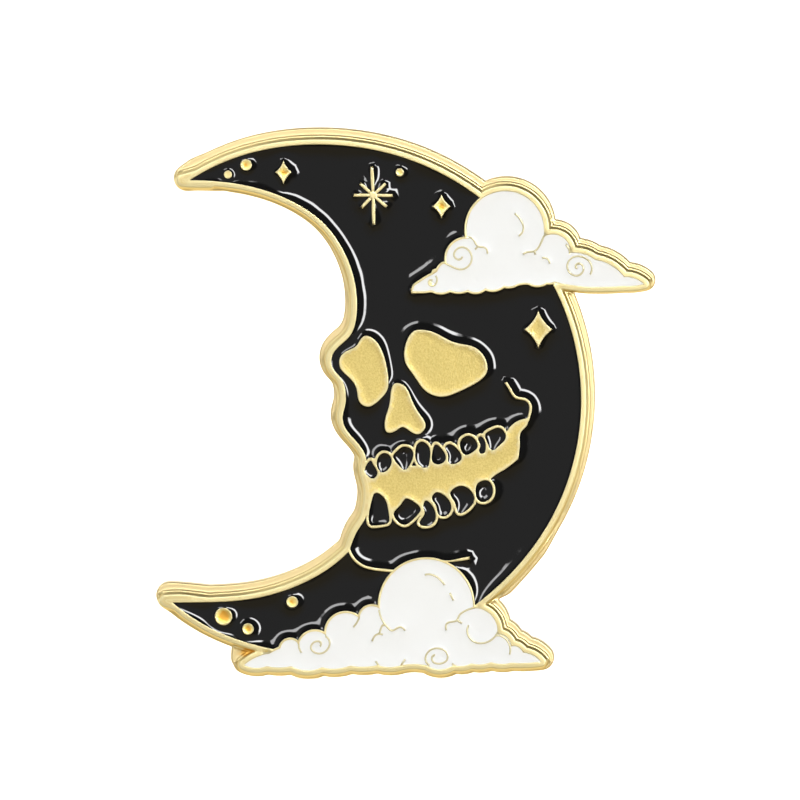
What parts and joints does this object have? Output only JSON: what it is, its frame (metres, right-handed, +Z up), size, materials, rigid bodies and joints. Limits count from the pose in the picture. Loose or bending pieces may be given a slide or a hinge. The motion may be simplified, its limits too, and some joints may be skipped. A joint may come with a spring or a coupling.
{
  "type": "enamel pin",
  "caption": "Gold-edged soft enamel pin: a black crescent moon with a skull's profile, white clouds, and butterfly clutches on its posts.",
  "frame": {"origin": "on the struck back face, at the middle of the art's outline", "axes": "upright: front faces -Y, the back face lies in y = 0, the posts point along +Y, +Z up"},
  "size_m": [0.0362, 0.0096, 0.0401],
  "materials": {
    "gold_plating": "polished gold plating on the raised lines, fine sandblast on the sunk bare metal",
    "black_enamel": "glossy, slightly sunk between the metal lines",
    "white_enamel": "glossy",
    "post_metal": "drawn and plated",
    "solder": "dull, smooth",
    "clutch_brass": "pressed sheet, satin with light draw marks"
  },
  "bodies": {
    "pin": {"pin_plate": "gold_plating", "moon_enamel": "black_enamel", "horn_enamel": "black_enamel", "tooth_gap_enamel": "black_enamel", "upper_tooth_enamel_1": "black_enamel", "upper_tooth_enamel_2": "black_enamel", "upper_tooth_enamel_3": "black_enamel", "upper_tooth_enamel_4": "black_enamel", "upper_tooth_enamel_5": "black_enamel", "upper_tooth_enamel_6": "black_enamel", "upper_tooth_enamel_7": "black_enamel", "upper_tooth_enamel_8": "black_enamel", "upper_tooth_enamel_9": "black_enamel", "lower_tooth_enamel_1": "black_enamel", "lower_tooth_enamel_2": "black_enamel", "lower_tooth_enamel_3": "black_enamel", "lower_tooth_enamel_4": "black_enamel", "lower_tooth_enamel_5": "black_enamel", "lower_tooth_enamel_6": "black_enamel", "upper_cloud_enamel": "white_enamel", "lower_cloud_enamel": "white_enamel", "post_upper": "post_metal", "solder_upper": "solder", "post_lower": "post_metal", "solder_lower": "solder"},
    "upper_clutch_cup": {"clutch_upper_base": "clutch_brass"},
    "upper_clutch_spring": {"clutch_upper_spring_plate": "clutch_brass"},
    "upper_clutch_wing_a": {"clutch_upper_wing_a": "clutch_brass"},
    "upper_clutch_wing_b": {"clutch_upper_wing_b": "clutch_brass"},
    "lower_clutch_cup": {"clutch_lower_base": "clutch_brass"},
    "lower_clutch_spring": {"clutch_lower_spring_plate": "clutch_brass"},
    "lower_clutch_wing_a": {"clutch_lower_wing_a": "clutch_brass"},
    "lower_clutch_wing_b": {"clutch_lower_wing_b": "clutch_brass"}
  },
  "joints": [
    {"name": "upper_clutch_slide", "type": "slide", "parent": "pin", "child": "upper_clutch_cup", "axis": [0, 1, 0], "range_m": [-0.0021, 0.012]},
    {"name": "upper_clutch_swivel", "type": "hinge", "parent": "upper_clutch_cup", "child": "upper_clutch_spring", "pos_m": [0.0045, 0, 0.0094], "axis": [0, 1, 0], "continuous": true},
    {"name": "upper_pinch_a", "type": "hinge", "parent": "upper_clutch_spring", "child": "upper_clutch_wing_a", "pos_m": [0.0068, 0.00455, 0.0094], "axis": [0, 0, 1], "range_deg": [0, 12], "stiffness_Nm_per_rad": 0.004},
    {"name": "upper_pinch_b", "type": "hinge", "parent": "upper_clutch_spring", "child": "upper_clutch_wing_b", "pos_m": [0.0022, 0.00455, 0.0094], "axis": [0, 0, -1], "range_deg": [0, 12], "stiffness_Nm_per_rad": 0.004},
    {"name": "lower_clutch_slide", "type": "slide", "parent": "pin", "child": "lower_clutch_cup", "axis": [0, 1, 0], "range_m": [-0.0021, 0.012]},
    {"name": "lower_clutch_swivel", "type": "hinge", "parent": "lower_clutch_cup", "child": "lower_clutch_spring", "pos_m": [0.004, 0, -0.009], "axis": [0, 1, 0], "continuous": true},
    {"name": "lower_pinch_a", "type": "hinge", "parent": "lower_clutch_spring", "child": "lower_clutch_wing_a", "pos_m": [0.00599, 0.00455, -0.00785], "axis": [-0.5, 0, 0.866], "range_deg": [0, 12], "stiffness_Nm_per_rad": 0.004},
    {"name": "lower_pinch_b", "type": "hinge", "parent": "lower_clutch_spring", "child": "lower_clutch_wing_b", "pos_m": [0.00201, 0.00455, -0.01015], "axis": [0.5, 0, -0.866], "range_deg": [0, 12], "stiffness_Nm_per_rad": 0.004}
  ],
  "couplings": [
    {"joint": "upper_pinch_b", "follows": "upper_pinch_a", "ratio": 1},
    {"joint": "lower_pinch_b", "follows": "lower_pinch_a", "ratio": 1}
  ]
}
